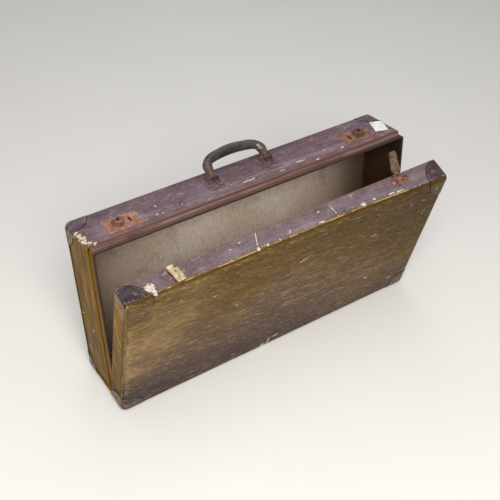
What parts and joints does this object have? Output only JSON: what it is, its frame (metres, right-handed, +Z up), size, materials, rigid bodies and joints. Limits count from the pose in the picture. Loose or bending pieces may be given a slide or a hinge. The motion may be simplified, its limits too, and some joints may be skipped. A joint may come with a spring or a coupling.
{
  "type": "suitcase",
  "caption": "Worn cardboard suitcase standing half open on its hinge side, with sliding-knob locks, swinging hasps, a folding carry handle and riveted corner caps.",
  "frame": {"origin": "floor level under the middle of the standing case's bounding box", "axes": "+X along the case, +Z up, +Y from the lid towards the back of the base"},
  "size_m": [0.6238, 0.2327, 0.3511],
  "materials": {
    "brown_board": "varnished fibreboard, worn and scratched",
    "rim_board": "bare reddish board, rubbed",
    "lining_paper": "speckled grey-tan lining paper",
    "cap_fibre": "pressed fibre, polished by wear",
    "label_paper": "plain paper sticker, scuffed",
    "grip_leather": "dark varnished leather",
    "lock_steel": "rusted sheet steel",
    "hasp_steel": "rusted sheet steel with bare patches",
    "rivet_steel": "dull brown steel",
    "bracket_steel": "painted brown, rusty at the edges",
    "plain_steel": "rusty steel"
  },
  "bodies": {
    "base": {"base_cap_bottom_left": "cap_fibre", "base_cap_bottom_right": "cap_fibre", "base_cap_top_left": "cap_fibre", "base_cap_top_right": "cap_fibre", "base_cap_rivets": "rivet_steel", "lock_plate_left": "lock_steel", "lock_plate_rivets_left": "lock_steel", "lock_case_left": "plain_steel", "lock_spring_left": "plain_steel", "hinge_pin_left": "plain_steel", "handle_pin_left": "plain_steel", "lock_plate_right": "lock_steel", "lock_plate_rivets_right": "lock_steel", "lock_case_right": "plain_steel", "lock_spring_right": "plain_steel", "hinge_pin_right": "plain_steel", "handle_pin_right": "plain_steel", "hinge_base_leaf_left": "plain_steel", "handle_bracket_left": "bracket_steel", "hinge_base_leaf_right": "plain_steel", "handle_bracket_right": "bracket_steel", "hinge_base_rivets": "rivet_steel", "handle_bracket_rivets": "rivet_steel", "base_shell": "brown_board", "inner_rim": "rim_board", "base_lining": "lining_paper", "paper_label": "label_paper"},
    "lid": {"lid_cap_bottom_left": "cap_fibre", "lid_cap_bottom_right": "cap_fibre", "lid_cap_top_left": "cap_fibre", "lid_cap_top_right": "cap_fibre", "lid_cap_rivets": "rivet_steel", "hasp_plate_left": "hasp_steel", "hasp_plate_rivets_left": "hasp_steel", "hasp_pin_left": "hasp_steel", "hinge_lid_leaf_left": "plain_steel", "hasp_plate_right": "hasp_steel", "hasp_plate_rivets_right": "hasp_steel", "hasp_pin_right": "hasp_steel", "hinge_lid_leaf_right": "plain_steel", "hinge_lid_rivets": "rivet_steel", "lid_shell": "brown_board", "lid_lining": "lining_paper"},
    "handle": {"handle_grip": "grip_leather", "handle_ferrule_left": "plain_steel", "handle_ferrule_right": "plain_steel"},
    "lock_slide_left": {"lock_knob_left": "lock_steel", "lock_bolt_left": "plain_steel"},
    "lock_slide_right": {"lock_knob_right": "lock_steel", "lock_bolt_right": "plain_steel"},
    "hasp_left": {"hasp_strap_left": "hasp_steel", "hasp_staple_left": "hasp_steel"},
    "hasp_right": {"hasp_strap_right": "hasp_steel", "hasp_staple_right": "hasp_steel"}
  },
  "joints": [
    {"name": "lid_hinge", "type": "hinge", "parent": "base", "child": "lid", "pos_m": [0, -0.00434, 0.00559], "axis": [1, 0, 0], "range_deg": [-17.5, 162.5]},
    {"name": "handle_swing", "type": "hinge", "parent": "base", "child": "handle", "pos_m": [0, 0.07768, 0.32117], "axis": [1, 0, 0], "range_deg": [-28, 142]},
    {"name": "hasp_left_swing", "type": "hinge", "parent": "lid", "child": "hasp_left", "pos_m": [-0.22, -0.07292, 0.31285], "axis": [1, 0, 0], "range_deg": [-160, 5]},
    {"name": "hasp_right_swing", "type": "hinge", "parent": "lid", "child": "hasp_right", "pos_m": [0.22, -0.07292, 0.31285], "axis": [1, 0, 0], "range_deg": [-50, 115]},
    {"name": "lock_left_slide", "type": "slide", "parent": "base", "child": "lock_slide_left", "axis": [-1, 0, 0], "range_m": [0, 0.0045], "stiffness_N_per_m": 400, "springref_m": -0.002, "deforming": ["lock_spring_left"]},
    {"name": "lock_right_slide", "type": "slide", "parent": "base", "child": "lock_slide_right", "axis": [1, 0, 0], "range_m": [0, 0.0045], "stiffness_N_per_m": 400, "springref_m": -0.002, "deforming": ["lock_spring_right"]}
  ]
}
